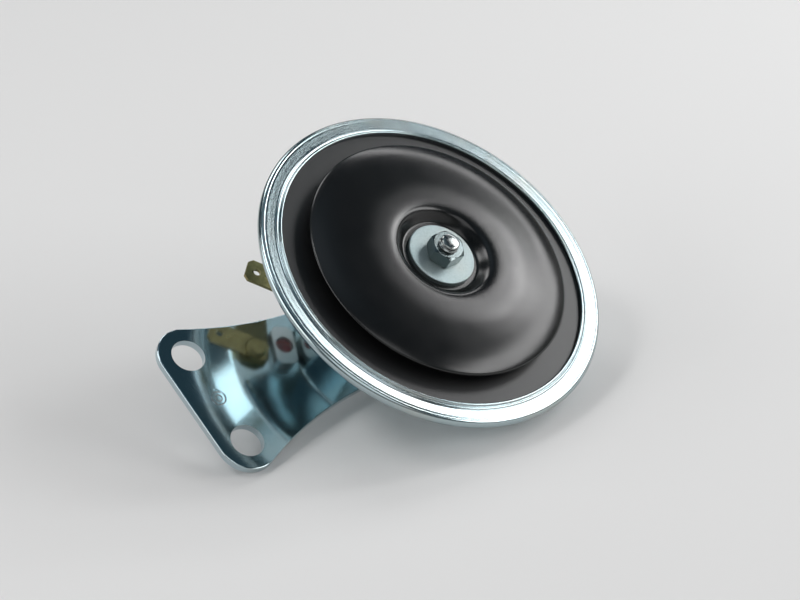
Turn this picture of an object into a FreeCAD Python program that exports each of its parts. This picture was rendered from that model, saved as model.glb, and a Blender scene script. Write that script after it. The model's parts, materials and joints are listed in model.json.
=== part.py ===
import FreeCAD, Part
import math
import os
import Sketcher

# A disc horn for a vehicle: a pressed steel pan with a coil cup, a diaphragm clamped under a
# rolled ring, a tone disc on the diaphragm's hub, and a flat two-hole bracket on the rear stud.
# Every piece is drawn on the horn's own axis: z runs forwards out of the tone disc, with zero on
# the diaphragm's rear face, and x runs from the axis out along the bracket. At the end the whole
# horn is laid down as it lies on a table: on the bracket's corner, the rear nut and the coil cup.

# Millimetres and degrees. Each length is set once, here.
SIZES = {
    "rim_radius": 46.0,
    "ring_sheet": 0.6,
    "ring_face": 3.9,
    "ring_dip": 0.3,
    "ring_foot_round": 1.2,
    "ring_step": 1.1,
    "ring_lip_width": 0.9,
    "ring_lip_rise": 0.3,
    "ring_roll": 1.25,
    "hem_return": 2.6,
    "flange_gap": 0.1,
    "front_gasket_sheet": 0.2,
    "rear_gasket_sheet": 0.3,
    "gasket_width": 2.7,
    "diaphragm_sheet": 0.3,
    "bead_radius": 24.5,
    "bead_half_width": 3.5,
    "bead_depth": 0.6,
    "housing_sheet": 0.8,
    "wall_inset": 3.4,
    "wall_taper": 4.1,
    "pan_depth": 9.5,
    "pan_bend": 2.5,
    "cup_radius": 21.2,
    "cup_depth": 25.0,
    "cup_edge": 3.0,
    "stud_radius": 2.5,
    "thread_gap": 0.05,
    "armature_radius": 9.0,
    "armature_nose": 0.7,
    "armature_flange_radius": 13.5,
    "armature_flange_sheet": 1.3,
    "stud_depth": 5.0,
    "stud_end": 1.7,
    "stud_dome": 1.3,
    "spacer_radius": 7.0,
    "seat_height": 3.85,
    "seat_margin": 1.0,
    "disc_sheet": 0.9,
    "disc_gap": 5.65,
    "disc_edge_rise": 0.35,
    "disc_edge_round": 0.25,
    "well_radius": 12.0,
    "well_rise": 2.1,
    "crest_radius": 14.1,
    "crest_rise": 2.8,
    "crown_radius": 17.0,
    "crown_rise": 2.95,
    "slope_radius": 24.5,
    "slope_rise": 2.4,
    "shoulder_inset": 5.0,
    "shoulder_rise": 1.9,
    "brow_inset": 1.5,
    "brow_rise": 1.15,
    "tone_washer_radius": 8.75,
    "tone_washer_sheet": 1.2,
    "washer_edge": 0.25,
    "tone_nut_across": 8.0,
    "tone_nut_height": 3.8,
    "pole_radius": 6.5,
    "pole_gap": 0.8,
    "rear_stud_radius": 4.0,
    "rear_stud_end": 1.0,
    "rear_stud_edge": 0.6,
    "bobbin_gap": 0.1,
    "bobbin_tube": 1.4,
    "bobbin_clearance": 0.2,
    "bobbin_flange_sheet": 1.0,
    "winding_inset": 0.3,
    "pole_plate_sheet": 1.5,
    "pole_plate_inset": 0.2,
    "pole_plate_bore": 10.0,
    "breaker_angle": -33.0,
    "breaker_clearance": 0.8,
    "breaker_inset": 3.5,
    "breaker_left": 8.2,
    "breaker_right": 9.0,
    "breaker_corner": 1.5,
    "insulator_sheet": 0.8,
    "rivet_inset": 5.2,
    "terminal_rivet_turn": 10.2,
    "breaker_rivet_turn": -8.6,
    "rivet_radius": 1.5,
    "rivet_head_radius": 2.8,
    "rivet_head_height": 0.9,
    "rivet_gap": 0.05,
    "insulating_gap": 0.9,
    "spring_sheet": 0.4,
    "spring_width": 5.0,
    "spring_overlap": 1.3,
    "spring_gap": 0.6,
    "contact_radius": 1.6,
    "contact_height": 0.8,
    "contact_offset": 3.7,
    "strip_sheet": 0.8,
    "strip_near_side": 4.7,
    "strip_far_side": 2.5,
    "strip_tongue": 4.4,
    "boss_turn": 8.0,
    "boss_half_length": 3.0,
    "boss_half_width": 5.5,
    "boss_height": 2.6,
    "boss_corner": 2.0,
    "boss_bore": 2.4,
    "screw_radius": 2.0,
    "screw_offset": 4.0,
    "screw_sink": 1.0,
    "screw_slot": 0.7,
    "seal_gap": 0.1,
    "seal_sheet": 0.6,
    "terminal_turn": -15.8,
    "terminal_sheet": 0.8,
    "terminal_width": 6.3,
    "terminal_reach": 12.8,
    "terminal_hole_reach": 10.0,
    "terminal_hole_radius": 0.9,
    "terminal_chamfer": 1.1,
    "terminal_base": 3.2,
    "terminal_plate_sheet": 1.6,
    "terminal_plate_inset": 1.1,
    "bracket_sheet": 2.0,
    "bracket_half_width": 12.8,
    "bracket_neck": 17.0,
    "mount_reach": 58.1,
    "mount_half_pitch": 12.8,
    "mount_radius": 4.25,
    "mount_corner": 7.7,
    "bracket_edge": 0.35,
    "mark_radius": 2.3,
    "mark_line": 0.5,
    "mark_depth": 0.15,
    "lock_washer_sheet": 0.8,
    "lock_washer_radius": 6.2,
    "lock_tooth": 1.2,
    "lock_teeth": 12,
    "rear_nut_across": 13.0,
    "rear_nut_height": 6.2,
    "resistor_radius": 2.2,
    "resistor_length": 11.0,
    "resistor_inset": 8.5,
    "resistor_lead": 0.4,
    "resistor_lead_length": 3.0,
}

# The tone disc's back follows its front at the sheet's thickness, through this many places.
BACK_SAMPLES = 24

# Shares of a piece's own size: where a nut's chamfer starts on its end face and where its cutter
# ends, both of the width across flats, and how far small edges and ends are rounded or drawn in.
NUT_FACE = 0.485
NUT_CUTTER = 0.6
LIP_ROUNDING = 0.45
RIVET_DOME = 0.8
SEAL_FACE = 0.7
TOOTH_TIP = 0.6
SLOT_OVERRUN = 1.2

ROOT_THREE = math.sqrt(3.0)
THIRTY_DEGREES_RISE = math.tan(math.radians(30.0))
FULL_TURN = 360.0


class Size:
    """A length that carries its value and the expression that gives it."""

    def __init__(self, value, text):
        self.value = value
        self.text = text

    def __neg__(self):
        return Size(-self.value, "-" + self.text)

    def __add__(self, other):
        other = as_size(other)
        return Size(self.value + other.value, "(" + self.text + " + " + other.text + ")")

    def __radd__(self, other):
        return as_size(other) + self

    def __sub__(self, other):
        other = as_size(other)
        return Size(self.value - other.value, "(" + self.text + " - " + other.text + ")")

    def __rsub__(self, other):
        return as_size(other) - self

    def __mul__(self, other):
        other = as_size(other)
        return Size(self.value * other.value, "(" + self.text + " * " + other.text + ")")

    def __rmul__(self, other):
        return as_size(other) * self

    def __truediv__(self, other):
        other = as_size(other)
        return Size(self.value / other.value, "(" + self.text + " / " + other.text + ")")


def as_size(number):
    if isinstance(number, Size):
        return number
    return Size(float(number), "(" + repr(float(number)) + ")")


def root(square):
    return Size(math.sqrt(square.value), "sqrt(" + square.text + ")")


def cosine(angle):
    return Size(math.cos(math.radians(angle.value)), "cos(" + angle.text + " * 1 deg)")


def sine(angle):
    return Size(math.sin(math.radians(angle.value)), "sin(" + angle.text + " * 1 deg)")


def polar(radius, angle):
    """The point at a radius and an angle, seen from the horn's axis."""
    return radius * cosine(angle), radius * sine(angle)


document = FreeCAD.newDocument("horn")
sheet = document.addObject("Spreadsheet::Sheet", "sizes")
for row, (alias, number) in enumerate(SIZES.items(), start=1):
    sheet.set("A" + str(row), alias)
    sheet.set("B" + str(row), str(number))
    sheet.setAlias("B" + str(row), alias)
document.recompute()

# One value for each cell, under the cell's own name.
cell = {alias: Size(float(sheet.get(alias)), "sizes." + alias) for alias in SIZES}


def new_body(name):
    body = document.addObject("PartDesign::Body", name)
    body.Label = name
    return body


def sketch_on(body, role, at=(0, 0), height=0, turn=0):
    """A sketch on one of the body's own planes, over the point at and at a height on the axis."""
    plane = [item for item in body.Origin.OriginFeatures if item.Role == role][0]
    sketch = body.newObject("Sketcher::SketchObject", body.Name + "_sketch")
    sketch.AttachmentSupport = [(plane, "")]
    sketch.MapMode = "FlatFace"
    across, along = as_size(at[0]), as_size(at[1])
    if role == "XZ_Plane":
        offsets = {"Base.x": across, "Base.z": -along}
    else:
        offsets = {"Base.x": across, "Base.y": along, "Base.z": as_size(height)}
        offsets["Rotation.Angle"] = as_size(turn)
    for name, size in offsets.items():
        sketch.setExpression(".AttachmentOffset." + name, size.text)
    return sketch


def hold(sketch, kind, places, size):
    """A dimension on the sketch, bound to the expression of its size."""
    index = sketch.addConstraint(Sketcher.Constraint(kind, *places, size.value))
    sketch.setExpression("Constraints[" + str(index) + "]", size.text)


def pin(sketch, line, end, x, y):
    hold(sketch, "DistanceX", (-1, 1, line, end), as_size(x))
    hold(sketch, "DistanceY", (-1, 1, line, end), as_size(y))


def outline(sketch, corners):
    """A closed outline of straight edges through the corners."""
    points = [(as_size(x), as_size(y)) for x, y in corners]
    spots = [FreeCAD.Vector(x.value, y.value, 0) for x, y in points]
    first = sketch.GeometryCount
    count = len(points)
    for index in range(count):
        edge = Part.LineSegment(spots[index], spots[(index + 1) % count])
        sketch.addGeometry(edge, False)
    for index in range(count):
        follower = first + (index + 1) % count
        sketch.addConstraint(Sketcher.Constraint("Coincident", first + index, 2, follower, 1))
    for index, (x, y) in enumerate(points):
        pin(sketch, first + index, 1, x, y)


def circle(sketch, x, y, radius):
    x, y = as_size(x), as_size(y)
    centre = FreeCAD.Vector(x.value, y.value, 0)
    index = sketch.addGeometry(Part.Circle(centre, FreeCAD.Vector(0, 0, 1), radius.value), False)
    pin(sketch, index, 3, x, y)
    hold(sketch, "Radius", (index,), radius)


def turned(name, corners, at=(0, 0)):
    """A body turned from its half section, about the upright line through the point at."""
    body = new_body(name)
    section = sketch_on(body, "XZ_Plane", at)
    outline(section, corners)
    revolution = body.newObject("PartDesign::Revolution", name + "_turn")
    revolution.Profile = section
    revolution.ReferenceAxis = (section, ["V_Axis"])
    revolution.Angle = FULL_TURN
    document.recompute()
    return body


def ring_section(inner, outer, low, high):
    return [(inner, low), (outer, low), (outer, high), (inner, high)]


def pad(body, sketch, length):
    feature = body.newObject("PartDesign::Pad", body.Name + "_pad")
    feature.Profile = sketch
    feature.setExpression("Length", as_size(length).text)
    document.recompute()
    return feature


def drill(body, sketch, depth=None):
    """Cuts the sketch forwards through the whole body, or to a depth."""
    feature = body.newObject("PartDesign::Pocket", body.Name + "_cut")
    feature.Profile = sketch
    feature.Reversed = True
    if depth is None:
        feature.Type = "ThroughAll"
    else:
        feature.setExpression("Length", as_size(depth).text)
    document.recompute()
    return feature


def box_corners(left, right, near, far):
    return [(left, near), (right, near), (right, far), (left, far)]


def fillet_edges(body, edges, radius):
    """Rounds the tip's edges that the test picks out."""
    names = ["Edge" + str(i) for i, edge in enumerate(body.Tip.Shape.Edges, 1) if edges(edge)]
    if not names:
        raise RuntimeError("no edge to round on " + body.Label)
    rounded = body.Tip
    feature = body.newObject("PartDesign::Fillet", body.Name + "_fillet")
    feature.Base = (rounded, names)
    feature.setExpression("Radius", as_size(radius).text)
    document.recompute()


CLOSE = 0.02


def circle_at(radius, height):
    """Picks the round edge about the horn's axis at a radius and a height."""
    def test(edge):
        curve = edge.Curve
        if not isinstance(curve, Part.Circle):
            return False
        same_radius = abs(curve.Radius - as_size(radius).value) < CLOSE
        return same_radius and abs(curve.Center.z - as_size(height).value) < CLOSE
    return test


def round_rings(body, rings):
    for radius, height, bend in rings:
        fillet_edges(body, circle_at(radius, height), bend)


def upright(edge):
    low, high = edge.BoundBox.ZMin, edge.BoundBox.ZMax
    straight = isinstance(edge.Curve, Part.Line)
    return straight and abs(edge.Length - (high - low)) < CLOSE


def hexagon(across):
    """Corners of a hexagon with a flat towards +y and a flat towards -y."""
    half, point = across / 2, across / ROOT_THREE
    quarter = point / 2
    return [(point, 0), (quarter, half), (-quarter, half), (-point, 0), (-quarter, -half),
            (quarter, -half)]


def hex_nut(name, across, bore, low, height):
    """A nut chamfered at both ends, with its flats towards +y and -y."""
    body = new_body(name)
    blank = sketch_on(body, "XY_Plane", height=low)
    outline(blank, hexagon(across))
    circle(blank, 0, 0, bore)
    pad(body, blank, height)
    inside, outside = across * NUT_FACE, across * NUT_CUTTER
    drop = (outside - inside) * THIRTY_DEGREES_RISE
    high = low + height
    cut = sketch_on(body, "XZ_Plane")
    outline(cut, [(inside, high), (outside, high), (outside, high - drop)])
    outline(cut, [(inside, low), (outside, low), (outside, low + drop)])
    groove = body.newObject("PartDesign::Groove", name + "_chamfer")
    groove.Profile = cut
    groove.ReferenceAxis = (cut, ["V_Axis"])
    groove.Angle = FULL_TURN
    document.recompute()
    return body


# Levels along the axis.
diaphragm_front = cell["diaphragm_sheet"]
gasket_front = diaphragm_front + cell["front_gasket_sheet"]
ring_front = gasket_front + cell["ring_sheet"]
flange_front = -cell["rear_gasket_sheet"]
flange_back = flange_front - cell["housing_sheet"]
hem_back = flange_back - cell["ring_sheet"]
pan_back = -cell["pan_depth"]
pan_floor = pan_back + cell["housing_sheet"]
cup_back = -cell["cup_depth"]
cup_floor = cup_back + cell["housing_sheet"]
disc_back = cell["seat_height"] - cell["disc_sheet"]
washer_front = cell["seat_height"] + cell["tone_washer_sheet"]
nut_front = washer_front + cell["tone_nut_height"]
insulator_front = pan_floor + cell["insulator_sheet"]
spring_front = insulator_front + cell["spring_sheet"]
contacts_meet = spring_front + cell["contact_height"]
strip_back = contacts_meet + cell["contact_height"]
armature_flange_back = spring_front + cell["spring_gap"]
armature_back = armature_flange_back - cell["armature_nose"]
pole_front = armature_back - cell["pole_gap"]
pole_plate_front = pan_floor - cell["pole_plate_inset"]
bobbin_front = pole_plate_front - cell["pole_plate_sheet"]
bracket_back = cup_back - cell["bracket_sheet"]
lock_back = bracket_back - cell["lock_washer_sheet"]
rear_nut_back = lock_back - cell["rear_nut_height"]
terminal_plate_back = pan_back - cell["terminal_plate_sheet"]
blade_back = terminal_plate_back - cell["terminal_sheet"]

# Radii shared by pieces that meet, from the rim inwards and from the cup outwards.
flange_radius = cell["rim_radius"] - cell["ring_sheet"] - cell["flange_gap"]
gasket_inner = flange_radius - cell["gasket_width"]
foot_radius = cell["rim_radius"] - cell["ring_face"]
lip_outside = foot_radius - cell["ring_step"]
lip_radius = lip_outside - cell["ring_lip_width"]
wall_top_radius = cell["rim_radius"] - cell["wall_inset"]
pan_radius = wall_top_radius - cell["wall_taper"]
cup_inside = cell["cup_radius"] - cell["housing_sheet"]
bobbin_radius = cup_inside - cell["bobbin_clearance"]
seat_radius = cell["tone_washer_radius"] + cell["seat_margin"]
disc_edge_radius = lip_radius - cell["disc_gap"]
stud_bore = cell["stud_radius"] + cell["thread_gap"]
rear_bore = cell["rear_stud_radius"] + cell["thread_gap"]
rivet_bore = cell["rivet_radius"] + cell["rivet_gap"]
screw_bore = cell["screw_radius"] + cell["thread_gap"]

# Places shared by the pan and what is fastened to it. The breaker, the terminal and the boss are
# one group: they turn together about the axis with the breaker's own angle.
breaker_turn = cell["breaker_angle"]
boss_turn = breaker_turn + cell["boss_turn"]
rivet_circle = pan_radius - cell["rivet_inset"]
screw_circle = cell["cup_radius"] + cell["screw_offset"]
breaker_inner = screw_circle + cell["boss_half_length"] + cell["breaker_clearance"]
terminal_rivet_here = polar(rivet_circle, cell["terminal_rivet_turn"])
breaker_rivet_here = polar(rivet_circle, cell["breaker_rivet_turn"])
terminal_rivet = polar(rivet_circle, breaker_turn + cell["terminal_rivet_turn"])
breaker_rivet = polar(rivet_circle, breaker_turn + cell["breaker_rivet_turn"])
screw_place = polar(screw_circle, boss_turn)


def clamp_ring():
    """The ring: a rounded inner lip, a dished face, and an outer edge rolled under the flange."""
    inside = cell["rim_radius"] - cell["ring_sheet"]
    hem = cell["rim_radius"] - cell["hem_return"]
    foot = ring_front - cell["ring_dip"]
    crest = ring_front + cell["ring_lip_rise"]
    lip_round = cell["ring_lip_width"] * LIP_ROUNDING
    body = turned("clamp_ring", [
        (lip_radius, diaphragm_front), (gasket_inner, diaphragm_front),
        (gasket_inner, gasket_front), (inside, gasket_front), (inside, flange_back),
        (hem, flange_back), (hem, hem_back), (cell["rim_radius"], hem_back),
        (cell["rim_radius"], ring_front), (foot_radius, foot), (lip_outside, crest),
        (lip_radius, crest)])
    round_rings(body, [
        (cell["rim_radius"], ring_front, cell["ring_roll"]),
        (cell["rim_radius"], hem_back, cell["ring_roll"]),
        (lip_radius, crest, lip_round),
        (lip_outside, crest, lip_round),
        (foot_radius, foot, cell["ring_foot_round"])])


def gaskets():
    for name, low, high in (("front_gasket", diaphragm_front, gasket_front),
                            ("rear_gasket", flange_front, 0)):
        turned(name, ring_section(gasket_inner, flange_radius, low, high))


def diaphragm():
    middle, half = cell["bead_radius"], cell["bead_half_width"]
    floor = -cell["bead_depth"]
    front = diaphragm_front
    dip = diaphragm_front - cell["bead_depth"]
    turned("diaphragm", [
        (stud_bore, 0), (middle - half, 0), (middle - half / 2, floor),
        (middle + half / 2, floor), (middle + half, 0), (flange_radius, 0),
        (flange_radius, front), (middle + half, front), (middle + half / 2, dip),
        (middle - half / 2, dip), (middle - half, front), (stud_bore, front)])


def housing():
    thick = cell["housing_sheet"]
    run = wall_top_radius - pan_radius
    rise = flange_back - pan_back
    slope = run / rise
    across = thick * root(run * run + rise * rise) / rise
    wall_inside = wall_top_radius + slope * thick - across
    pan_inside = pan_radius + slope * thick - across
    body = turned("housing", [
        (rear_bore, cup_back), (cell["cup_radius"], cup_back), (cell["cup_radius"], pan_back),
        (pan_radius, pan_back), (wall_top_radius, flange_back),
        (flange_radius, flange_back), (flange_radius, flange_front), (wall_inside, flange_front),
        (pan_inside, pan_floor), (cup_inside, pan_floor), (cup_inside, cup_floor),
        (rear_bore, cup_floor)])
    round_rings(body, [
        (cell["cup_radius"], cup_back, cell["cup_edge"]),
        (cup_inside, cup_floor, cell["cup_edge"] - thick),
        (cell["cup_radius"], pan_back, thick),
        (cup_inside, pan_floor, thick * 2),
        (pan_radius, pan_back, cell["pan_bend"]),
        (pan_inside, pan_floor, cell["pan_bend"] - thick),
        (wall_top_radius, flange_back, thick / 2),
        (wall_inside, flange_front, thick * 1.5)])
    cut = sketch_on(body, "XY_Plane", height=cup_back)
    for place in (terminal_rivet, breaker_rivet):
        circle(cut, place[0], place[1], cell["rivet_radius"] + cell["insulating_gap"])
    circle(cut, screw_place[0], screw_place[1], screw_bore)
    drill(body, cut)


def armature():
    radius, flange = cell["armature_radius"], cell["armature_flange_radius"]
    flange_front_level = armature_flange_back + cell["armature_flange_sheet"]
    turned("armature", [
        (stud_bore, 0), (radius, 0), (radius, flange_front_level), (flange, flange_front_level),
        (flange, armature_flange_back), (radius, armature_flange_back), (radius, armature_back),
        (0, armature_back), (0, -cell["stud_depth"]), (stud_bore, -cell["stud_depth"])])


def armature_stud():
    end = nut_front + cell["stud_end"]
    body = turned("armature_stud", [
        (0, -cell["stud_depth"]), (cell["stud_radius"], -cell["stud_depth"]),
        (cell["stud_radius"], end), (0, end)])
    round_rings(body, [(cell["stud_radius"], end, cell["stud_dome"])])


def hub():
    turned("hub_spacer", ring_section(stud_bore, cell["spacer_radius"], diaphragm_front, disc_back))
    washer = turned("tone_washer", ring_section(
        stud_bore, cell["tone_washer_radius"], cell["seat_height"], washer_front))
    round_rings(washer, [(cell["tone_washer_radius"], washer_front, cell["washer_edge"])])
    hex_nut("tone_nut", cell["tone_nut_across"], stud_bore, washer_front, cell["tone_nut_height"])


def section_point(radius, height):
    return FreeCAD.Vector(as_size(radius).value, 0, as_size(height).value)


def tone_disc():
    """The pressed disc: one smooth section, from the seat over the crown to the rolled edge."""
    thick, seat = cell["disc_sheet"].value, cell["seat_height"]
    bore, seat_level = stud_bore.value, seat.value
    places = [
        (seat_radius, seat),
        (cell["well_radius"], seat + cell["well_rise"]),
        (cell["crest_radius"], seat + cell["crest_rise"]),
        (cell["crown_radius"], seat + cell["crown_rise"]),
        (cell["slope_radius"], seat + cell["slope_rise"]),
        (disc_edge_radius - cell["shoulder_inset"], seat + cell["shoulder_rise"]),
        (disc_edge_radius - cell["brow_inset"], seat + cell["brow_rise"]),
        (disc_edge_radius, seat + cell["disc_edge_rise"])]
    front = Part.BSplineCurve()
    front.interpolate(
        Points=[section_point(radius, height) for radius, height in places],
        InitialTangent=section_point(1, 0),
        FinalTangent=section_point(1, -1))
    first, last = front.FirstParameter, front.LastParameter
    spots = []
    for step in range(BACK_SAMPLES + 1):
        at = first + (last - first) * step / BACK_SAMPLES
        along = front.tangent(at)[0]
        spots.append(front.value(at) + FreeCAD.Vector(along.z, 0, -along.x) * thick)
    back = Part.BSplineCurve()
    back.interpolate(Points=spots)
    inner_front = section_point(bore, seat_level)
    inner_back = section_point(bore, seat_level - thick)
    section = Part.Wire(Part.__sortEdges__([
        Part.makeLine(inner_back, inner_front),
        Part.makeLine(inner_front, front.StartPoint),
        front.toShape(),
        Part.makeLine(front.EndPoint, back.EndPoint),
        back.toShape(),
        Part.makeLine(back.StartPoint, inner_back)]))
    solid = Part.Face(section).revolve(FreeCAD.Vector(0, 0, 0), FreeCAD.Vector(0, 0, 1), FULL_TURN)
    corner = circle_at(front.EndPoint.x, front.EndPoint.z)
    rim = [edge for edge in solid.Edges if corner(edge)]
    feature = document.addObject("Part::Feature", "tone_disc")
    feature.Label = "tone_disc"
    feature.Shape = solid.makeFillet(cell["disc_edge_round"].value, rim)


def magnet():
    """The fixed pole with its rear stud, the coil on its bobbin and the plate that closes them in."""
    stud_back = rear_nut_back - cell["rear_stud_end"]
    core = turned("core_stud", [
        (0, stud_back), (cell["rear_stud_radius"], stud_back), (cell["rear_stud_radius"], cup_floor),
        (cell["pole_radius"], cup_floor), (cell["pole_radius"], pole_front), (0, pole_front)])
    round_rings(core, [(cell["rear_stud_radius"], stud_back, cell["rear_stud_edge"])])
    inner = cell["pole_radius"] + cell["bobbin_gap"]
    tube = inner + cell["bobbin_tube"]
    low = cup_floor + cell["bobbin_flange_sheet"]
    high = bobbin_front - cell["bobbin_flange_sheet"]
    outer = bobbin_radius
    low_outer = outer - (cell["cup_edge"] - cell["housing_sheet"])
    turned("coil_bobbin", [
        (inner, cup_floor), (low_outer, cup_floor), (low_outer, low), (tube, low), (tube, high),
        (outer, high), (outer, bobbin_front), (inner, bobbin_front)])
    turned("coil_winding", ring_section(tube, low_outer - cell["winding_inset"], low, high))
    turned("pole_plate", ring_section(
        cell["pole_plate_bore"], outer, bobbin_front, pole_plate_front))


def slab(name, corners, low, height, turn, holes, corner):
    """A flat piece with rounded corners and round holes, turned to its place on the pan."""
    body = new_body(name)
    plan = sketch_on(body, "XY_Plane", height=low, turn=turn)
    outline(plan, corners)
    pad(body, plan, height)
    if corner is not None:
        fillet_edges(body, upright, corner)
    cut = sketch_on(body, "XY_Plane", height=low, turn=turn)
    for x, y, radius in holes:
        circle(cut, x, y, radius)
    drill(body, cut)
    return body


def breaker():
    """The contacts that the armature's flange opens, on their insulator inside the pan."""
    outer = pan_radius - cell["breaker_inset"]
    rivet_holes = [(*terminal_rivet_here, rivet_bore), (*breaker_rivet_here, rivet_bore)]
    plate = box_corners(breaker_inner, outer, -cell["breaker_left"], cell["breaker_right"])
    slab("breaker_insulator", plate, pan_floor, cell["insulator_sheet"], breaker_turn,
         rivet_holes, cell["breaker_corner"])
    spring_middle = breaker_rivet_here[1]
    half = cell["spring_width"] / 2
    spring_end = cell["armature_flange_radius"] - cell["spring_overlap"]
    arm = box_corners(spring_end, outer, spring_middle - half, spring_middle + half)
    slab("breaker_spring", arm, insulator_front, cell["spring_sheet"], breaker_turn,
         [(*breaker_rivet_here, rivet_bore)], cell["breaker_corner"])
    contact_reach = screw_circle - cell["contact_offset"]
    for name, low in (("moving_contact", spring_front), ("fixed_contact", contacts_meet)):
        body = new_body(name)
        plan = sketch_on(body, "XY_Plane", height=low, turn=breaker_turn)
        circle(plan, contact_reach, spring_middle, cell["contact_radius"])
        pad(body, plan, cell["contact_height"])
    strip = new_body("fixed_contact_strip")
    thick = cell["strip_sheet"]
    riser = breaker_inner + thick
    near = terminal_rivet_here[1] - cell["strip_near_side"]
    far = terminal_rivet_here[1] + cell["strip_far_side"]
    foot = sketch_on(strip, "XY_Plane", height=insulator_front, turn=breaker_turn)
    outline(foot, box_corners(breaker_inner, outer, near, far))
    circle(foot, *terminal_rivet_here, rivet_bore)
    pad(strip, foot, thick)
    post = sketch_on(strip, "XY_Plane", height=insulator_front, turn=breaker_turn)
    outline(post, box_corners(breaker_inner, riser, near, far))
    pad(strip, post, strip_back + thick - insulator_front)
    half_tongue = cell["strip_tongue"] / 2
    tongue_inner, tongue_outer = contact_reach - half_tongue, contact_reach + half_tongue
    tongue_end = spring_middle - half_tongue
    top = sketch_on(strip, "XY_Plane", height=strip_back, turn=breaker_turn)
    outline(top, [
        (tongue_inner, tongue_end), (tongue_outer, tongue_end), (tongue_outer, near),
        (breaker_inner, near), (breaker_inner, far), (tongue_inner, far)])
    pad(strip, top, thick)


def resistor():
    body = new_body("spark_resistor")
    height = pan_floor + cell["resistor_radius"]
    spans = ((cell["resistor_length"], cell["resistor_radius"]),
             (cell["resistor_length"] + cell["resistor_lead_length"] * 2, cell["resistor_lead"]))
    for length, radius in spans:
        section = sketch_on(body, "YZ_Plane")
        circle(section, cell["resistor_inset"] - pan_radius, height, radius)
        feature = pad(body, section, length)
        feature.Midplane = True
    document.recompute()


def rivet(name, place, low, high):
    """A rivet with a domed head at each end of its grip."""
    head, tall = cell["rivet_head_radius"], cell["rivet_head_height"]
    shank = cell["rivet_radius"]
    body = turned(name, [
        (0, low - tall), (head, low - tall), (head, low), (shank, low), (shank, high),
        (head, high), (head, high + tall), (0, high + tall)], at=place)
    domes = (low - tall).value, (high + tall).value

    def dome_edge(edge):
        curve = edge.Curve
        if not isinstance(curve, Part.Circle) or abs(curve.Radius - head.value) > CLOSE:
            return False
        return min(abs(curve.Center.z - dome) for dome in domes) < CLOSE
    fillet_edges(body, dome_edge, tall * RIVET_DOME)


def terminal():
    rivet_holes = [(*terminal_rivet_here, rivet_bore), (*breaker_rivet_here, rivet_bore)]
    plate = box_corners(breaker_inner, pan_radius - cell["terminal_plate_inset"],
                        -cell["breaker_left"], cell["breaker_right"])
    slab("terminal_plate", plate, terminal_plate_back, cell["terminal_plate_sheet"], breaker_turn,
         rivet_holes, cell["breaker_corner"])
    blade = new_body("terminal_blade")
    turn = breaker_turn + cell["terminal_turn"]
    plan = sketch_on(blade, "XY_Plane", terminal_rivet, blade_back, turn)
    half, base = cell["terminal_width"] / 2, cell["terminal_base"]
    tip, cut = cell["terminal_reach"], cell["terminal_chamfer"]
    outline(plan, [
        (-base, -half + cut), (-base + cut, -half), (tip - cut, -half), (tip, -half + cut),
        (tip, half - cut), (tip - cut, half), (-base + cut, half), (-base, half - cut)])
    circle(plan, 0, 0, rivet_bore)
    circle(plan, cell["terminal_hole_reach"], 0, cell["terminal_hole_radius"])
    pad(blade, plan, cell["terminal_sheet"])
    rivet("terminal_rivet", terminal_rivet, blade_back, insulator_front + cell["strip_sheet"])
    rivet("breaker_rivet", breaker_rivet, terminal_plate_back, spring_front)


def adjuster():
    """The screw that sets the contacts, in its boss on the back of the pan, under a lacquer seal."""
    turn = boss_turn
    boss_back = pan_back - cell["boss_height"]
    wide, half_length = cell["boss_half_width"], cell["boss_half_length"]
    plan = box_corners(screw_circle - half_length, screw_circle + half_length, -wide, wide)
    slab("adjuster_boss", plan, boss_back, cell["boss_height"], turn,
         [(screw_circle, 0, cell["boss_bore"])], cell["boss_corner"])
    screw_back = boss_back + cell["screw_sink"]
    screw = turned("adjusting_screw", [
        (0, screw_back), (cell["screw_radius"], screw_back), (cell["screw_radius"], strip_back),
        (0, strip_back)], at=screw_place)
    slot = sketch_on(screw, "XY_Plane", screw_place, screw_back, turn)
    half = cell["screw_slot"] / 2
    wide = cell["screw_radius"] * SLOT_OVERRUN
    outline(slot, box_corners(-wide, wide, -half, half))
    drill(screw, slot, cell["screw_slot"])
    seal_radius = cell["boss_bore"] - cell["seal_gap"]
    seal_back = screw_back - cell["seal_sheet"]
    seal_side = seal_back + cell["seal_sheet"] / 2
    turned("screw_seal", [
        (0, seal_back), (seal_radius * SEAL_FACE, seal_back), (seal_radius, seal_side),
        (seal_radius, screw_back), (0, screw_back)], at=screw_place)


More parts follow.
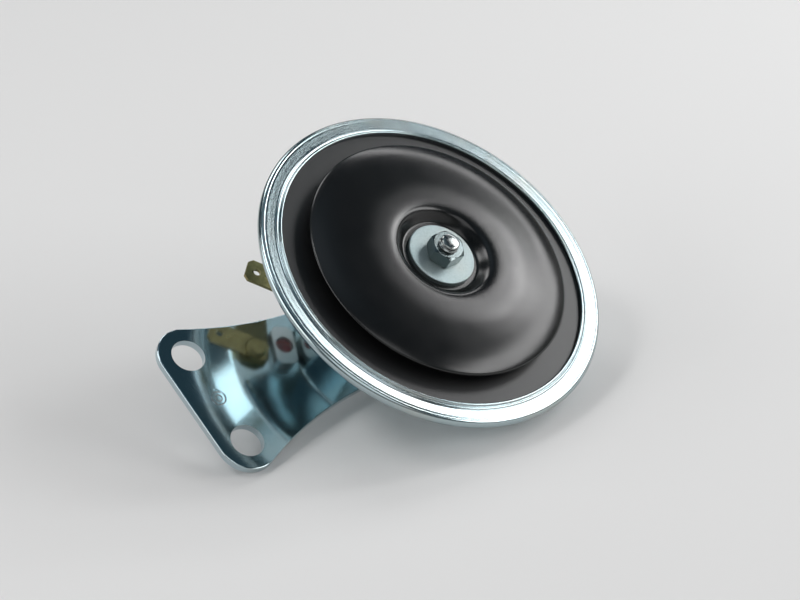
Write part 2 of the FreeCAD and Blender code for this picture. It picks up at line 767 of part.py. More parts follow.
def bracket_plan(sketch):
    """A round end about the stud, two flanks that flare, and a straight end between two corners."""
    wide, neck = cell["bracket_half_width"], cell["bracket_neck"]
    reach, pitch = cell["mount_reach"], cell["mount_half_pitch"]
    corner = cell["mount_corner"]
    run, step = reach.value - neck.value, wide.value - pitch.value
    # The radius of the flank that leaves the neck level and meets the corner's circle smoothly.
    sweep = (run ** 2 + step ** 2 - corner.value ** 2) / (2 * (corner.value - step))
    lean = math.atan2(step + sweep, -run)
    vector, axis = FreeCAD.Vector, FreeCAD.Vector(0, 0, 1)
    quarter = math.pi / 2
    end_reach = reach.value + corner.value

    def add(piece):
        return sketch.addGeometry(piece, False)

    def arc(x, y, radius, start, finish):
        return add(Part.ArcOfCircle(Part.Circle(vector(x, y), axis, radius), start, finish))

    def tie(kind, *places):
        sketch.addConstraint(Sketcher.Constraint(kind, *places))

    back = arc(0, 0, wide.value, quarter, 3 * quarter)
    end = add(Part.LineSegment(vector(end_reach, -pitch.value), vector(end_reach, pitch.value)))
    hold(sketch, "DistanceX", (-1, 1, back, 3), as_size(0))
    # Arcs run anticlockwise, so on the two sides they start at opposite ends.
    for sign, begin, finish in ((1, 1, 2), (-1, 2, 1)):
        side = sign * wide.value
        straight = add(Part.LineSegment(vector(0, side), vector(neck.value, side)))
        flank_span = (-quarter, lean - math.pi) if sign > 0 else (math.pi - lean, quarter)
        curve = arc(neck.value, sign * (wide.value + sweep), sweep, *flank_span)
        turn_span = (0.0, lean) if sign > 0 else (-lean, 0.0)
        turn = arc(reach.value, sign * pitch.value, corner.value, *turn_span)
        pin(sketch, straight, 1, 0, sign * wide)
        pin(sketch, straight, 2, neck, sign * wide)
        pin(sketch, turn, 3, reach, sign * pitch)
        hold(sketch, "Radius", (turn,), corner)
        tie("Coincident", back, begin, straight, 1)
        tie("Tangent", straight, 2, curve, begin)
        tie("Tangent", curve, finish, turn, finish)
        tie("Tangent", turn, begin, end, finish)


def bracket():
    body = new_body("bracket")
    plan = sketch_on(body, "XY_Plane", height=bracket_back)
    bracket_plan(plan)
    circle(plan, 0, 0, rear_bore)
    for sign in (1, -1):
        circle(plan, cell["mount_reach"], sign * cell["mount_half_pitch"], cell["mount_radius"])
    pad(body, plan, cell["bracket_sheet"])

    def outline_edge(edge):
        level = edge.BoundBox.ZMax - edge.BoundBox.ZMin < CLOSE
        return level and not edge.isClosed()
    fillet_edges(body, outline_edge, cell["bracket_edge"])
    mark = sketch_on(body, "XY_Plane", height=cup_back)
    circle(mark, cell["mount_reach"], 0, cell["mark_radius"])
    circle(mark, cell["mount_reach"], 0, cell["mark_radius"] - cell["mark_line"])
    groove = body.newObject("PartDesign::Pocket", "bracket_mark")
    groove.Profile = mark
    groove.setExpression("Length", cell["mark_depth"].text)
    document.recompute()


def rear_fasteners():
    washer = new_body("lock_washer")
    plan = sketch_on(washer, "XY_Plane", height=lock_back)
    circle(plan, 0, 0, cell["lock_washer_radius"])
    circle(plan, 0, 0, rear_bore)
    pad(washer, plan, cell["lock_washer_sheet"])
    tooth = sketch_on(washer, "XY_Plane", height=lock_back)
    root_radius = cell["lock_washer_radius"] - cell["lock_tooth"] / 2
    tip_radius = cell["lock_washer_radius"] + cell["lock_tooth"]
    half = cell["lock_tooth"] / 2
    outline(tooth, [(root_radius, -half), (tip_radius, -half * TOOTH_TIP),
                    (tip_radius, half * TOOTH_TIP), (root_radius, half)])
    first = pad(washer, tooth, cell["lock_washer_sheet"])
    pattern = washer.newObject("PartDesign::PolarPattern", "lock_washer_teeth")
    pattern.Originals = [first]
    pattern.Axis = (tooth, ["N_Axis"])
    pattern.Angle = FULL_TURN
    pattern.setExpression("Occurrences", cell["lock_teeth"].text)
    washer.Tip = pattern
    document.recompute()
    hex_nut("bracket_nut", cell["rear_nut_across"], rear_bore, rear_nut_back, cell["rear_nut_height"])


def reach_down(contact, down):
    """How far a rounded rim reaches along down: centre, circle radius and edge rounding."""
    (x, y, z), radius, edge = contact
    flat = math.hypot(down[0], down[1])
    return x * down[0] + y * down[1] + z * down[2] + radius * flat + edge


def resting_down():
    """The downward direction in the horn's own frame when it lies on cup, bracket and nut."""
    value = {alias: size.value for alias, size in cell.items()}
    edge = value["cup_edge"]
    cup = (0, 0, cup_back.value + edge), value["cup_radius"] - edge, edge
    corner = ((value["mount_reach"], value["mount_half_pitch"], bracket_back.value),
              value["mount_corner"], 0)
    nut = (0, 0, rear_nut_back.value), value["rear_nut_across"] * NUT_FACE, 0

    def misfit(tilt):
        down = (tilt[0], tilt[1], -math.sqrt(1 - tilt[0] ** 2 - tilt[1] ** 2))
        level = reach_down(nut, down)
        return reach_down(cup, down) - level, reach_down(corner, down) - level

    tilt = [0.0, 0.55]
    nudge = 1e-6
    for _ in range(30):
        base = misfit(tilt)
        right = misfit([tilt[0] + nudge, tilt[1]])
        up = misfit([tilt[0], tilt[1] + nudge])
        a, c = [(right[i] - base[i]) / nudge for i in (0, 1)]
        b, d = [(up[i] - base[i]) / nudge for i in (0, 1)]
        size = a * d - b * c
        tilt[0] -= (d * base[0] - b * base[1]) / size
        tilt[1] -= (a * base[1] - c * base[0]) / size
    return FreeCAD.Vector(tilt[0], tilt[1], -math.sqrt(1 - tilt[0] ** 2 - tilt[1] ** 2))


def lay_down(pieces):
    """Turns all pieces to the resting pose, with x from bracket to horn, and centres them on it."""
    up = -resting_down()
    along = FreeCAD.Vector(-1, 0, 0)
    along = (along - up * along.dot(up)).normalize()
    side = up.cross(along)
    turn = FreeCAD.Rotation(FreeCAD.Matrix(
        along.x, along.y, along.z, 0, side.x, side.y, side.z, 0, up.x, up.y, up.z, 0, 0, 0, 0, 1))
    pose = FreeCAD.Placement(FreeCAD.Vector(0, 0, 0), turn)
    turned_pieces = Part.makeCompound([piece.Shape.copy() for piece in pieces])
    turned_pieces.Placement = pose
    box = turned_pieces.optimalBoundingBox(False, False)
    pose.Base = FreeCAD.Vector(-(box.XMin + box.XMax) / 2, -(box.YMin + box.YMax) / 2, -box.ZMin)
    for piece in pieces:
        piece.Placement = pose
    return pose


clamp_ring()
gaskets()
diaphragm()
housing()
armature()
armature_stud()
hub()
tone_disc()
magnet()
breaker()
resistor()
terminal()
adjuster()
bracket()
rear_fasteners()
document.recompute()

pieces = [item for item in document.Objects
          if item.TypeId in ("PartDesign::Body", "Part::Feature")]
pose = lay_down(pieces)
document.recompute()

for item in document.Objects:
    if "Invalid" in item.State or "Error" in item.State:
        raise RuntimeError(item.Label + " failed")
for piece in pieces:
    if piece.Shape.isNull() or not piece.Shape.isValid():
        raise RuntimeError(piece.Label + " has no sound shape")

os.makedirs("parts", exist_ok=True)
for piece in pieces:
    piece.Shape.exportStep("parts/" + piece.Label + ".step")

for sign, name in ((1, "near"), (-1, "far")):
    place = FreeCAD.Vector(
        cell["mount_reach"].value, sign * cell["mount_half_pitch"].value, cup_back.value)
    print("mount hole", name, "front face centre", pose.multVec(place))
print("horn axis", pose.Rotation.multVec(FreeCAD.Vector(0, 0, 1)))
print("axis on the diaphragm", pose.multVec(FreeCAD.Vector(0, 0, 0)))
print(len(pieces), "pieces")
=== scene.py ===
import json
import math

import bpy
from mathutils import Matrix, Quaternion, Vector
from mathutils.bvhtree import BVHTree


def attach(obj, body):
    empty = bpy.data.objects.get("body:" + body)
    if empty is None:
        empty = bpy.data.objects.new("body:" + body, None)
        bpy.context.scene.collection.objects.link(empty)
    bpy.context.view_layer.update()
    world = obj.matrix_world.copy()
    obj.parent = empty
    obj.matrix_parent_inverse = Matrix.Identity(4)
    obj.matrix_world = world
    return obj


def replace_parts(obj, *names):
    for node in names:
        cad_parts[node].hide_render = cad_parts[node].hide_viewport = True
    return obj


# A disc horn lying on a pale table under softboxes. Lengths are in metres, apart from the sections
# of the turned pieces, which are in millimetres. The horn's own axes come from its two bracket
# holes: x runs from the axis to the middle of the holes, y along the holes, and z out of the tone
# disc, from the back of the diaphragm.

MILLIMETRE = 0.001
MICROMETRE = 1e-6
HOLE_REACH = 58.1 * MILLIMETRE
STRAP_MIDDLE = -26.0 * MILLIMETRE

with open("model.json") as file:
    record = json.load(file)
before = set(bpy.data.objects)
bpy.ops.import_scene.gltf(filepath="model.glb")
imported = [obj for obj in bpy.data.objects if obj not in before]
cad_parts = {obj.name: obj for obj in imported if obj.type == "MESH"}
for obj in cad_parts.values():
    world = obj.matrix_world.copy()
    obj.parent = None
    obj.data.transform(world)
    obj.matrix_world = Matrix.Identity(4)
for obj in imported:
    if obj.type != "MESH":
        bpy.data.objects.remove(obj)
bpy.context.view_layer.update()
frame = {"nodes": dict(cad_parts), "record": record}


def horn_axes():
    """The horn's own frame, from the two mounts on its bracket."""
    mounts = {mount["name"]: mount for mount in frame["record"]["mounts"]}
    near = Vector(mounts["near_hole"]["pos_m"])
    far = Vector(mounts["far_hole"]["pos_m"])
    forward = Vector(mounts["near_hole"]["axis"]).normalized()
    across = (near - far).normalized()
    outward = across.cross(forward)
    centre = (near + far) / 2 - outward * HOLE_REACH - forward * STRAP_MIDDLE
    turn = Matrix((outward, across, forward)).transposed().to_4x4()
    return Matrix.Translation(centre) @ turn


horn = horn_axes()


# Materials

def mix_colours(nodes, links, factor, first, second):
    """Mixes two colours, each a triple or a socket."""
    node = nodes.new("ShaderNodeMix")
    node.data_type = "RGBA"
    sockets = [socket for socket in node.inputs if socket.type == "RGBA"]
    for socket, colour in zip(sockets, (first, second)):
        if isinstance(colour, tuple):
            socket.default_value = (*colour, 1.0)
        else:
            links.new(colour, socket)
    links.new(factor, node.inputs["Factor"])
    return [socket for socket in node.outputs if socket.type == "RGBA"][0]


class Surface:
    """A material with short ways to lay texture nodes into its shader."""

    def __init__(self, name, colour, roughness, metallic=0.0):
        self.material = bpy.data.materials.new(name)
        self.material.use_nodes = True
        self.nodes = self.material.node_tree.nodes
        self.links = self.material.node_tree.links
        self.shader = self.nodes["Principled BSDF"]
        self.shader.inputs["Base Color"].default_value = (*colour, 1.0)
        self.shader.inputs["Roughness"].default_value = roughness
        self.shader.inputs["Metallic"].default_value = metallic
        self.place = self.nodes.new("ShaderNodeTexCoord")
        self.last_bump = None

    def join(self, source, target):
        self.links.new(source, target)

    def noise(self, size, detail, rough=0.5, stretch=None):
        """Noise whose blotches are about one size across."""
        node = self.nodes.new("ShaderNodeTexNoise")
        node.inputs["Scale"].default_value = 1.0 / size
        node.inputs["Detail"].default_value = detail
        node.inputs["Roughness"].default_value = rough
        self.join(self.mapped(stretch), node.inputs["Vector"])
        return node.outputs["Fac"]

    def specks(self, size):
        """Distance to the nearest of many scattered points, in cells of one size."""
        node = self.nodes.new("ShaderNodeTexVoronoi")
        node.inputs["Scale"].default_value = 1.0 / size
        self.join(self.place.outputs["Object"], node.inputs["Vector"])
        return node.outputs["Distance"]

    def mapped(self, stretch):
        """The piece's own coordinates, scaled along each axis where a stretch is given."""
        if stretch is None:
            return self.place.outputs["Object"]
        node = self.nodes.new("ShaderNodeMapping")
        node.inputs["Scale"].default_value = stretch
        self.join(self.place.outputs["Object"], node.inputs["Vector"])
        return node.outputs["Vector"]

    def spread(self, value, low, high, to_low, to_high):
        """Maps a value from one range to another, without running past either end."""
        node = self.nodes.new("ShaderNodeMapRange")
        node.inputs["From Min"].default_value = low
        node.inputs["From Max"].default_value = high
        node.inputs["To Min"].default_value = to_low
        node.inputs["To Max"].default_value = to_high
        self.join(value, node.inputs["Value"])
        return node.outputs["Result"]

    def blend(self, factor, first, second):
        return mix_colours(self.nodes, self.links, factor, first, second)

    def colour(self, socket):
        self.join(socket, self.shader.inputs["Base Color"])

    def roughness(self, socket):
        self.join(socket, self.shader.inputs["Roughness"])

    def bump(self, value, height):
        """Raises the surface by up to a height, on top of the bumps before it."""
        node = self.nodes.new("ShaderNodeBump")
        node.inputs["Distance"].default_value = height
        node.inputs["Strength"].default_value = 1.0
        self.join(value, node.inputs["Height"])
        if self.last_bump:
            self.join(self.last_bump, node.inputs["Normal"])
        self.last_bump = node.outputs["Normal"]
        self.join(self.last_bump, self.shader.inputs["Normal"])


WARM_SHARES = (0.95, 0.92, 0.82)


def zinc(name, tint, roughness=0.13, grain=0.4 * MILLIMETRE, relief=0.6 * MICROMETRE):
    """Bright zinc plate: a blue-white mirror with a fine grain and faint yellow clouds."""
    surface = Surface(name, tint, roughness, metallic=1.0)
    clouds = surface.noise(14 * MILLIMETRE, detail=2.0)
    warm = tuple(max(tint) * share for share in WARM_SHARES)
    surface.colour(surface.blend(surface.spread(clouds, 0.5, 0.75, 0.0, 0.45), tint, warm))
    mottle = surface.noise(grain, detail=4.0, rough=0.6)
    surface.roughness(surface.spread(mottle, 0.3, 0.7, roughness * 0.75, roughness * 1.35))
    surface.bump(mottle, relief)
    return surface


def black_coat():
    """Satin black paint: a fine skin, a slow change of gloss, and a few specks of dust."""
    paint, dust_colour = (0.0045, 0.0045, 0.0048), (0.09, 0.09, 0.085)
    surface = Surface("black_coat", paint, 0.22)
    skin = surface.noise(0.22 * MILLIMETRE, detail=3.0)
    wave = surface.noise(6 * MILLIMETRE, detail=1.0)
    surface.bump(skin, 4 * MICROMETRE)
    surface.roughness(surface.spread(wave, 0.3, 0.7, 0.205, 0.235))
    dust = surface.spread(surface.specks(2.6 * MILLIMETRE), 0.03, 0.05, 1.0, 0.0)
    patches = surface.spread(surface.noise(11 * MILLIMETRE, detail=1.0), 0.56, 0.64, 0.0, 0.5)
    share = surface.nodes.new("ShaderNodeMath")
    share.operation = "MULTIPLY"
    surface.join(dust, share.inputs[0])
    surface.join(patches, share.inputs[1])
    surface.colour(surface.blend(share.outputs[0], paint, dust_colour))
    return surface


def grey_steel():
    """Blackened spring steel of the diaphragm: satin, with a fine even grain."""
    dark, light = (0.003, 0.003, 0.0035), (0.005, 0.005, 0.0055)
    surface = Surface("grey_steel", (0.004, 0.004, 0.0045), 0.42)
    surface.shader.inputs["Specular IOR Level"].default_value = 0.7
    grain = surface.noise(0.25 * MILLIMETRE, detail=2.0)
    blotches = surface.noise(5 * MILLIMETRE, detail=3.0)
    surface.bump(grain, 3 * MICROMETRE)
    surface.colour(surface.blend(surface.spread(blotches, 0.35, 0.65, 0.0, 1.0), dark, light))
    return surface


def laminate(name, colour, dark):
    """Pressed paper laminate: a matt body with fibres that run across it."""
    surface = Surface(name, colour, 0.42)
    fibres = surface.noise(1.2 * MILLIMETRE, detail=5.0, rough=0.7, stretch=(1.0, 5.0, 1.0))
    surface.colour(surface.blend(surface.spread(fibres, 0.3, 0.7, 0.0, 1.0), dark, colour))
    surface.bump(fibres, 4 * MICROMETRE)
    return surface


def brass(name, colour, roughness):
    """Brass strip: duller in clouds, with the streaks of rolling."""
    surface = Surface(name, colour, roughness, metallic=1.0)
    clouds = surface.noise(2.5 * MILLIMETRE, detail=4.0, rough=0.6)
    dull = tuple(part * 0.55 for part in colour)
    surface.colour(surface.blend(surface.spread(clouds, 0.4, 0.7, 0.0, 0.8), colour, dull))
    streaks = surface.noise(0.3 * MILLIMETRE, detail=2.0, stretch=(1.0, 1.0, 8.0))
    surface.bump(streaks, 1.5 * MICROMETRE)
    surface.roughness(surface.spread(clouds, 0.3, 0.7, roughness * 0.8, roughness * 1.4))
    return surface


def lacquer():
    """The drop of red sealing lacquer, darker where it is thick."""
    dark, light = (0.06, 0.004, 0.004), (0.36, 0.016, 0.010)
    surface = Surface("red_lacquer", (0.42, 0.018, 0.012), 0.12)
    surface.shader.inputs["Coat Weight"].default_value = 0.6
    thick = surface.noise(1.0 * MILLIMETRE, detail=2.0)
    surface.colour(surface.blend(surface.spread(thick, 0.35, 0.65, 0.0, 1.0), dark, light))
    surface.bump(thick, 20 * MICROMETRE)
    return surface


def iron():
    surface = Surface("soft_iron", (0.38, 0.38, 0.39), 0.35, metallic=1.0)
    grain = surface.noise(0.3 * MILLIMETRE, detail=4.0)
    surface.roughness(surface.spread(grain, 0.3, 0.7, 0.28, 0.45))
    surface.bump(grain, 2 * MICROMETRE)
    return surface


def plastic(name, colour):
    surface = Surface(name, colour, 0.4)
    grain = surface.noise(0.5 * MILLIMETRE, detail=3.0)
    surface.bump(grain, 3 * MICROMETRE)
    surface.roughness(surface.spread(grain, 0.3, 0.7, 0.34, 0.48))
    return surface


def paper():
    dark, light = (0.26, 0.20, 0.12), (0.42, 0.33, 0.22)
    surface = Surface("gasket_paper", (0.36, 0.28, 0.18), 0.85)
    fibres = surface.noise(0.4 * MILLIMETRE, detail=5.0, rough=0.7)
    surface.colour(surface.blend(surface.spread(fibres, 0.3, 0.7, 0.0, 1.0), dark, light))
    surface.bump(fibres, 10 * MICROMETRE)
    return surface


def copper():
    """Enamelled wire: the turns show as fine ridges round the coil."""
    surface = Surface("copper_wire", (0.50, 0.20, 0.09), 0.25, metallic=1.0)
    turns = surface.noise(0.6 * MILLIMETRE, detail=1.0)
    surface.bump(turns, 15 * MICROMETRE)
    return surface


def scratched_strap():
    """The bracket's zinc: the clearest mirror of all, with faint scratches along it."""
    surface = zinc("zinc_strap", (0.50, 0.60, 0.64), 0.09, relief=0.8 * MICROMETRE)
    scratches = surface.noise(1.6 * MILLIMETRE, detail=5.0, rough=0.7, stretch=(1.0, 5.0, 1.0))
    surface.bump(scratches, 1.2 * MICROMETRE)
    return surface


def dress_nodes():
    """Gives every carried-over node its finish."""
    finishes = {
        scratched_strap(): ["bracket"],
        zinc("zinc_sheet", (0.55, 0.70, 0.74)): ["housing"],
        zinc("zinc_washer", (0.38, 0.455, 0.465), 0.5, relief=6 * MICROMETRE): ["tone_washer"],
        # painted shade: the front nut's zinc is tinted far darker than the same plating elsewhere,
        # standing in for the shade and dark reflections on its sides
        zinc("zinc_nut_darkened_for_shade", (0.17, 0.205, 0.21), 0.16): ["tone_nut"],
        zinc("zinc_fastener", (0.60, 0.64, 0.65), 0.16): [
            "hub_spacer", "lock_washer", "bracket_nut", "core_stud",
            "adjusting_screw", "breaker_rivet"],
        grey_steel(): ["diaphragm"],
        paper(): ["front_gasket", "rear_gasket"],
        iron(): ["armature", "pole_plate"],
        plastic("bobbin_plastic", (0.72, 0.70, 0.60)): ["coil_bobbin"],
        plastic("resistor_body", (0.55, 0.48, 0.36)): ["spark_resistor"],
        copper(): ["coil_winding"],
        laminate("brown_laminate", (0.20, 0.10, 0.045), (0.12, 0.06, 0.03)): ["breaker_insulator"],
        laminate("olive_laminate", (0.19, 0.165, 0.055), (0.11, 0.095, 0.035)): ["terminal_plate"],
        brass("spring_brass", (0.60, 0.45, 0.20), 0.22): ["breaker_spring", "fixed_contact_strip"],
        brass("terminal_brass", (0.36, 0.30, 0.14), 0.30): ["terminal_blade", "terminal_rivet"],
        zinc("contact_metal", (0.6, 0.6, 0.62), 0.3): ["moving_contact", "fixed_contact"],
        zinc("boss_metal", (0.74, 0.75, 0.74), 0.35, relief=3 * MICROMETRE): ["adjuster_boss"],
        lacquer(): ["screw_seal"],
    }
    for surface, names in finishes.items():
        for name in names:
            for slot in frame["nodes"][name].material_slots:
                slot.material = surface.material


dress_nodes()


# Pieces made finer than their nodes, with their sections and lengths in millimetres

def add_piece(name, points, faces, surface, placed=False):
    """A smooth mesh in the horn's axes, or already in place, that rides with the horn."""
    mesh = bpy.data.meshes.new(name)
    mesh.from_pydata(points, [], faces)
    if not placed:
        mesh.transform(horn)
    mesh.polygons.foreach_set("use_smooth", [True] * len(faces))
    mesh.materials.append(surface.material)
    piece = bpy.data.objects.new(name, mesh)
    bpy.context.scene.collection.objects.link(piece)
    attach(piece, "root")
    return piece


def turned(name, section, surface, turns=240):
    """A ring swept round the horn's axis from a closed section of radii and heights."""
    points, faces = [], []
    for step in range(turns):
        angle = 2 * math.pi * step / turns
        for radius, height in section:
            flat = radius * MILLIMETRE
            points.append((flat * math.cos(angle), flat * math.sin(angle), height * MILLIMETRE))
    count = len(section)
    for step in range(turns):
        here, there = step * count, (step + 1) % turns * count
        for index in range(count):
            after = (index + 1) % count
            faces.append((here + index, here + after, there + after, there + index))
    return add_piece(name, points, faces, surface)


# The disc's front from its hole to its rim: radius, height, and slope in degrees
DISC_FRONT = [
    (2.6, 3.85, 0.0), (9.75, 3.85, 0.0), (10.35, 4.05, 40.0), (12.1, 6.05, 46.0),
    (12.9, 6.58, 22.0), (13.8, 6.79, 6.0), (15.0, 6.86, 1.5), (17.6, 6.88, 0.0),
    (21.0, 6.79, -3.5), (24.0, 6.53, -5.7), (27.0, 6.20, -7.4), (30.0, 5.69, -12.3),
    (32.6, 4.92, -20.0), (34.0, 4.32, -27.5)]
DISC_SHEET = 0.9
# The disc's rounded rim: half its thickness, how far it reaches, and the turns of its points
EDGE_ROUND = 0.45
EDGE_REACH = 0.6
EDGE_TURNS = range(75, -90, -15)


def smooth_run(stations, steps=10):
    """Points along a line through stations, with each station's slope kept."""
    run = []
    for (r0, z0, s0), (r1, z1, s1) in zip(stations, stations[1:]):
        span = r1 - r0
        lift0, lift1 = (span * math.tan(math.radians(slope)) for slope in (s0, s1))
        for step in range(steps):
            t = step / steps
            rise = (2 * t**3 - 3 * t**2 + 1) * z0 + (t**3 - 2 * t**2 + t) * lift0
            rise += (3 * t**2 - 2 * t**3) * z1 + (t**3 - t**2) * lift1
            run.append((r0 + span * t, rise))
    run.append(stations[-1][:2])
    return run


def disc_section():
    """The disc's front, its rounded rim, and its back one sheet behind the front."""
    front = smooth_run(DISC_FRONT)
    back = []
    for index, (radius, height) in enumerate(front):
        before, after = front[max(index - 1, 0)], front[min(index + 1, len(front) - 1)]
        slope = math.atan2(after[1] - before[1], after[0] - before[0])
        back.append((radius + DISC_SHEET * math.sin(slope), height - DISC_SHEET * math.cos(slope)))
    lean = math.radians(DISC_FRONT[-1][2])
    middle = ((front[-1][0] + back[-1][0]) / 2, (front[-1][1] + back[-1][1]) / 2)
    edge = []
    for turn in EDGE_TURNS:
        out = EDGE_REACH * math.cos(math.radians(turn))
        up = EDGE_ROUND * math.sin(math.radians(turn))
        edge.append((middle[0] + out * math.cos(lean) - up * math.sin(lean),
                     middle[1] + out * math.sin(lean) + up * math.cos(lean)))
    return front + edge + back[::-1]


# The clamp ring's front as radius and height: the lip, the groove beside it, the flat face, and
# the seam where the roll round the rim begins
RING_LIP = [(40.38, 0.3), (40.38, 1.06), (40.41, 1.2), (40.5, 1.33), (40.62, 1.4), (40.76, 1.41),
            (40.9, 1.36), (41.0, 1.25), (41.07, 1.08), (41.15, 0.96)]
RING_GROOVE = [(41.27, 0.92), (41.4, 1.0), (41.55, 1.08), (41.72, 1.06), (41.86, 0.95),
               (41.97, 0.84), (42.1, 0.80), (42.3, 0.81)]
RING_FACE = [(42.6, 0.835), (43.1, 0.865), (43.7, 0.905), (44.2, 0.95), (44.4, 0.96)]
RING_SEAM = [(44.5, 0.93), (44.6, 0.87), (44.7, 0.87)]
RING_FOOT = [(42.6, 0.38), (42.6, 0.3)]
RIM_RADIUS = 46.0
ROLL_RADIUS = 1.25
ROLL_TOP = 0.98
ROLL_STEP = 9
RING_SHEET = 0.6
HEM_DEPTH = -1.7
HEM_INSIDE = 43.4


def ring_section():
    """The lip and the face, the roll round the rim, and the hem that grips the housing."""
    middle = RIM_RADIUS - ROLL_RADIUS
    within = ROLL_RADIUS - RING_SHEET
    quarters = ((ROLL_TOP - ROLL_RADIUS, range(90 - ROLL_STEP, -1, -ROLL_STEP)),
                (HEM_DEPTH + ROLL_RADIUS, range(0, -91, -ROLL_STEP)))
    roll, lining = [], []
    for low, turns in quarters:
        for turn in turns:
            cosine, sine = math.cos(math.radians(turn)), math.sin(math.radians(turn))
            roll.append((middle + ROLL_RADIUS * cosine, low + ROLL_RADIUS * sine))
            lining.append((middle + within * cosine, low + within * sine))
    hem = [(HEM_INSIDE, HEM_DEPTH), (HEM_INSIDE, HEM_DEPTH + RING_SHEET)]
    front = RING_LIP + RING_GROOVE + RING_FACE + RING_SEAM
    return front + roll + hem + lining[::-1] + RING_FOOT


# The front stud: its radius, its two ends, its thread, and how much it narrows under the tip
STUD_RADIUS = 2.5
STUD_ENDS = (-5.0, 10.55)
STUD_PITCH = 0.8
STUD_THREAD = 0.42
STUD_TAPER = 0.05
DOME_RISE = 0.55
# The domed tip: height over the last thread, and the share of the radius there
DOME_ROWS = [(0.25, 0.93), (0.42, 0.80), (0.51, 0.6), (DOME_RISE, 0.3)]


def threaded_stud(name, surface, turns=96, rows_a_pitch=10):
    """A stud whose helical thread fades in the last pitch under its domed tip."""
    low, top = STUD_ENDS[0], STUD_ENDS[1] - DOME_RISE
    count = round((top - low) / STUD_PITCH * rows_a_pitch)
    heights = [low + (top - low) * row / count for row in range(count + 1)]
    rows = []
    for height in heights:
        depth = min(1.0, (top - height) / STUD_PITCH)
        rows.append((height, 1 - STUD_TAPER * (1 - depth), STUD_THREAD * depth))
    rows += [(top + rise, share, 0.0) for rise, share in DOME_ROWS]
    points, faces = [], []
    for height, share, cut in rows:
        for step in range(turns):
            phase = 2 * math.pi * (height / STUD_PITCH - step / turns)
            reach = (STUD_RADIUS * share - cut * (0.5 - 0.5 * math.cos(phase))) * MILLIMETRE
            angle = 2 * math.pi * step / turns
            points.append((reach * math.cos(angle), reach * math.sin(angle), height * MILLIMETRE))
    for row in range(len(rows) - 1):
        for step in range(turns):
            after = (step + 1) % turns
            here, above = row * turns, (row + 1) * turns
            faces.append((here + step, here + after, above + after, above + step))
    faces.append(tuple(reversed(range(turns))))
    faces.append(tuple(range((len(rows) - 1) * turns, len(rows) * turns)))
    return add_piece(name, points, faces, surface)


# The plain mark in the bracket: its place from the horn's axis, the radii of its two rings, half
# a ring's width, and a height well over the bracket to look down from
MARK_PLACE = (57.9, 0.2)
MARK_RINGS = (1.75, 0.85)
MARK_WIRE = 0.16
MARK_LOOKOUT = 10


def stamped_mark(name, surface, turns=48, sides=8):
    """Two plain raised rings that follow the bracket's surface."""
    strap = frame["nodes"]["bracket"].data
    tree = BVHTree.FromPolygons([vertex.co for vertex in strap.vertices],
                                [face.vertices for face in strap.polygons])
    points, faces = [], []
    down = (horn.to_3x3() @ Vector((0, 0, -1))).normalized()
    for ring in MARK_RINGS:
        first = len(points)
        for step in range(turns):
            angle = 2 * math.pi * step / turns
            spoke = Vector((math.cos(angle), math.sin(angle), 0))
            over = Vector((*MARK_PLACE, MARK_LOOKOUT)) + spoke * ring
            hit, normal, _, _ = tree.ray_cast(horn @ (over * MILLIMETRE), down)
            normal = normal if normal.dot(down) < 0 else -normal
            outward = (horn.to_3x3() @ spoke).normalized()
            for side in range(sides):
                turn = 2 * math.pi * side / sides
                off = outward * math.cos(turn) + normal * math.sin(turn)
                points.append(hit + off * MARK_WIRE * MILLIMETRE)
        for step in range(turns):
            here, there = first + step * sides, first + (step + 1) % turns * sides
            for side in range(sides):
                after = (side + 1) % sides
                faces.append((here + side, there + side, there + after, here + after))
    return add_piece(name, points, faces, surface, placed=True)


stud_finish = zinc("zinc_stud", (0.32, 0.34, 0.34), 0.18)
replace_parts(threaded_stud("armature_stud_threaded", stud_finish), "armature_stud")
stamped_mark("bracket_mark", stud_finish)
ring_finish = zinc("zinc_ring", (0.41, 0.49, 0.51), 0.18, 0.55 * MILLIMETRE, 1.6 * MICROMETRE)
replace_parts(turned("clamp_ring_dressed", ring_section(), ring_finish), "clamp_ring")
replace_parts(turned("tone_disc_dressed", disc_section(), black_coat()), "tone_disc")


# The table

TABLE_SIZE = 3.0
TABLE_COLOUR = (0.735, 0.735, 0.735)
TABLE_ROUGHNESS = 0.7
TABLE_SPECULAR = 0.2


def lay_table():
    """A flat table under the horn, which is not a part of it."""
    mesh = bpy.data.meshes.new("table")
    half = TABLE_SIZE / 2
    corners = [(-half, -half, 0), (half, -half, 0), (half, half, 0), (-half, half, 0)]
    mesh.from_pydata(corners, [], [(0, 1, 2, 3)])
    table = bpy.data.objects.new("table", mesh)
    bpy.context.scene.collection.objects.link(table)
    surface = Surface("table_top", TABLE_COLOUR, TABLE_ROUGHNESS)
    surface.shader.inputs["Specular IOR Level"].default_value = TABLE_SPECULAR
    mesh.materials.append(surface.material)


lay_table()


# Light: directions are seen from the horn, as an azimuth from +Y towards +X and a height

def towards(azimuth, height):
    """The direction at an azimuth and a height in degrees."""
    flat = math.cos(math.radians(height))
    turn = math.radians(azimuth)
    return Vector((flat * math.sin(turn), flat * math.cos(turn), math.sin(math.radians(height))))


def softbox(name, azimuth, height, distance, width, tall, radiance, roll):
    """A flat lamp that faces the horn, with its top leaned by the roll towards smaller azimuths."""
    lamp = bpy.data.lights.new(name, "AREA")
    lamp.shape = "RECTANGLE"
    lamp.size = width
    lamp.size_y = tall
    lamp.energy = radiance * math.pi * width * tall
    box = bpy.data.objects.new(name, lamp)
    aim = towards(azimuth, height)
    box.location = aim * distance
    lean = Quaternion(aim, -math.radians(roll))
    box.rotation_euler = (lean @ (-aim).to_track_quat("-Z", "Y")).to_euler()
    box.visible_camera = False
    bpy.context.scene.collection.objects.link(box)


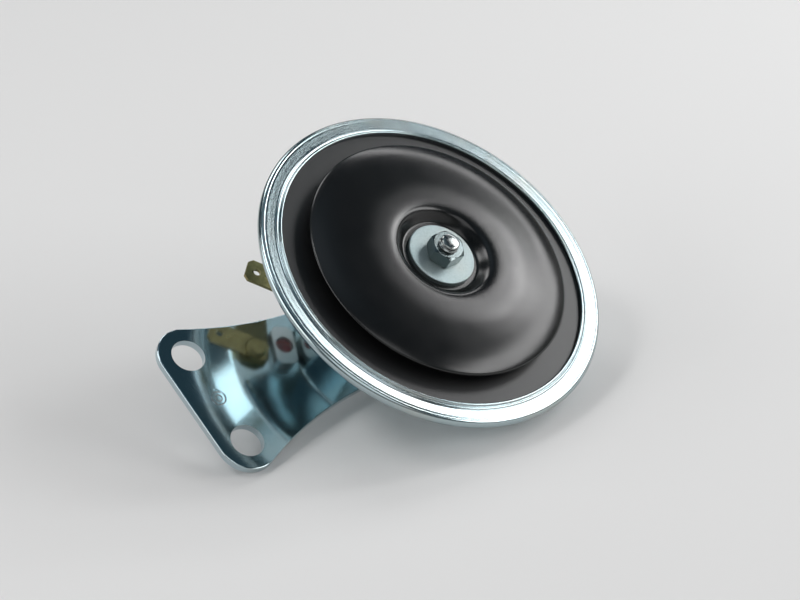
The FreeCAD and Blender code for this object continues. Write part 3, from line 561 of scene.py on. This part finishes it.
# Each lamp's name, azimuth, height, distance, width, tallness, radiance and roll
SOFTBOXES = [
    ("key_box", 107, 39.5, 0.7, 0.152, 0.127, 10.4, -19),
    ("window_box", 131, 27, 1.3, 1.52, 0.38, 5.3, 0),
    ("strip_box", 75, 35, 0.7, 0.566, 0.073, 4.9, -18),
    ("left_box", -64, 25, 1.1, 1.40, 0.42, 2.6, 0),
    ("top_left_box", -50, 57, 1.0, 0.34, 0.22, 6.0, 0),
    ("back_box", 18, 46, 1.0, 0.36, 0.32, 4.2, 0),
    ("fill_box", -150, 38, 1.1, 0.8, 0.6, 1.2, 0)]

for lamp_values in SOFTBOXES:
    softbox(*lamp_values)


AMBIENT = (0.175, 0.175, 0.175)
BACKDROP = (0.72, 0.72, 0.72)
# What polished metal sees, by the sine of the height it looks at: the pale backdrop above the
# table's edge, the unlit room over it, and the blue-white ceiling
ROOM = [(-0.02, BACKDROP), (0.10, (0.30, 0.36, 0.37)), (0.13, (0.16, 0.12, 0.06)),
        (0.20, (0.020, 0.045, 0.055)), (0.85, (0.025, 0.05, 0.065)), (0.95, (0.14, 0.20, 0.24)),
        (1.0, (0.34, 0.42, 0.48))]


def light_world():
    """A pale surround to the camera, even grey light, and a darker room in the reflections."""
    world = bpy.data.worlds.new("studio")
    bpy.context.scene.world = world
    world.use_nodes = True
    nodes, links = world.node_tree.nodes, world.node_tree.links
    place = nodes.new("ShaderNodeTexCoord")
    split = nodes.new("ShaderNodeSeparateXYZ")
    links.new(place.outputs["Generated"], split.inputs["Vector"])
    ramp = nodes.new("ShaderNodeValToRGB")
    stops = ramp.color_ramp.elements
    while len(stops) < len(ROOM):
        stops.new(0.5)
    shift = nodes.new("ShaderNodeMapRange")
    shift.inputs["From Min"].default_value = -1.0
    links.new(split.outputs["Z"], shift.inputs["Value"])
    for stop, (sine, colour) in zip(stops, ROOM):
        stop.position = (sine + 1) / 2
        stop.color = (*colour, 1.0)
    links.new(shift.outputs["Result"], ramp.inputs["Fac"])
    path = nodes.new("ShaderNodeLightPath")
    mirror_ray, camera_ray = path.outputs["Is Glossy Ray"], path.outputs["Is Camera Ray"]
    mirrored = mix_colours(nodes, links, mirror_ray, AMBIENT, ramp.outputs["Color"])
    seen = mix_colours(nodes, links, camera_ray, mirrored, BACKDROP)
    links.new(seen, nodes["Background"].inputs["Color"])


light_world()


# The camera, at the photograph's viewing angle

CAMERA_AIM = Vector((1.663, 2.919, 24.202)) * MILLIMETRE
CAMERA_DISTANCE = 0.493
CAMERA_HEADING = 43.666
CAMERA_DROP = 27.610
CAMERA_ROLL = -1.766
CAMERA_LENS_MM = 90.0
CAMERA_SENSOR_MM = 36.0
CAMERA_NEAR = 0.01


def place_camera():
    """Looks down at the aim from the heading, with its right side turned by the roll."""
    forward = towards(CAMERA_HEADING, -CAMERA_DROP)
    level = forward.cross(Vector((0, 0, 1))).normalized()
    upright = level.cross(forward)
    roll = math.radians(CAMERA_ROLL)
    right = level * math.cos(roll) + upright * math.sin(roll)
    up = right.cross(forward)
    camera = bpy.data.cameras.new("camera")
    camera.lens = CAMERA_LENS_MM
    camera.sensor_width = CAMERA_SENSOR_MM
    camera.clip_start = CAMERA_NEAR
    holder = bpy.data.objects.new("camera", camera)
    turn = Matrix((right, up, -forward)).transposed().to_4x4()
    place = CAMERA_AIM - forward * CAMERA_DISTANCE
    holder.matrix_world = Matrix.Translation(place) @ turn
    bpy.context.scene.collection.objects.link(holder)
    bpy.context.scene.camera = holder


place_camera()

bpy.context.scene.view_settings.view_transform = "Standard"
